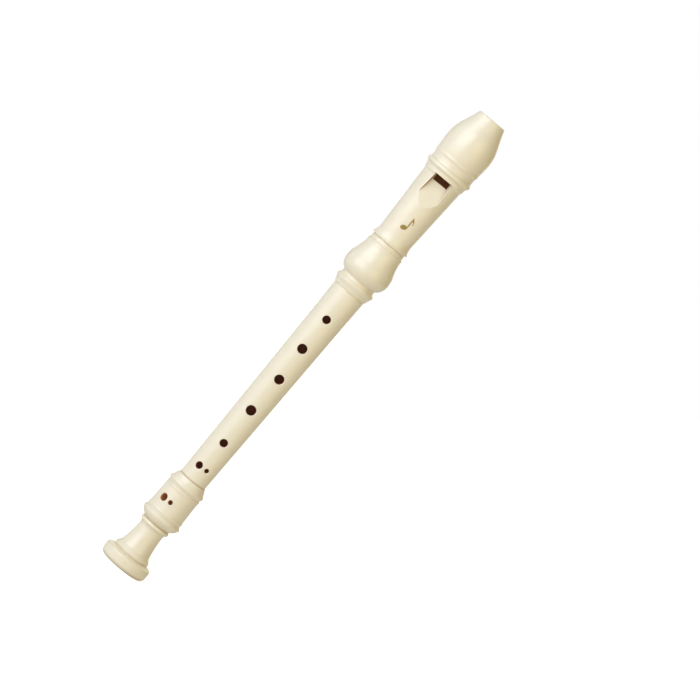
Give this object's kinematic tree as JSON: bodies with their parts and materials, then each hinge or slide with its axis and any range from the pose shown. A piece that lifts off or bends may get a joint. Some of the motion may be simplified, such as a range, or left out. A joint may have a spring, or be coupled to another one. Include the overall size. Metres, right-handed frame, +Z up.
{
  "type": "soprano recorder",
  "caption": "Moulded plastic soprano recorder in C with a separate head, middle and foot joint, a windway block and a foot that turns.",
  "frame": {"origin": "centre of the bell's rim, on the bore's axis, where the recorder stands", "axes": "+Z up the bore from the bell to the tip of the beak, -Y the way the finger holes face, +X to the viewer's right"},
  "size_m": [0.0302, 0.0302, 0.33],
  "materials": {
    "ivory_plastic": "satin",
    "block_plastic": "satin"
  },
  "bodies": {
    "middle": {"middle_joint": "ivory_plastic"},
    "head": {"head_joint": "ivory_plastic", "windway_block": "block_plastic"},
    "foot": {"foot_joint": "ivory_plastic"}
  },
  "joints": [
    {"name": "head_slide", "type": "slide", "parent": "middle", "child": "head", "axis": [0, 0, 1], "range_m": [0, 0.024]},
    {"name": "foot_turn", "type": "hinge", "parent": "middle", "child": "foot", "pos_m": [0, 0, 0.0575], "axis": [0, 0, 1], "continuous": true}
  ]
}
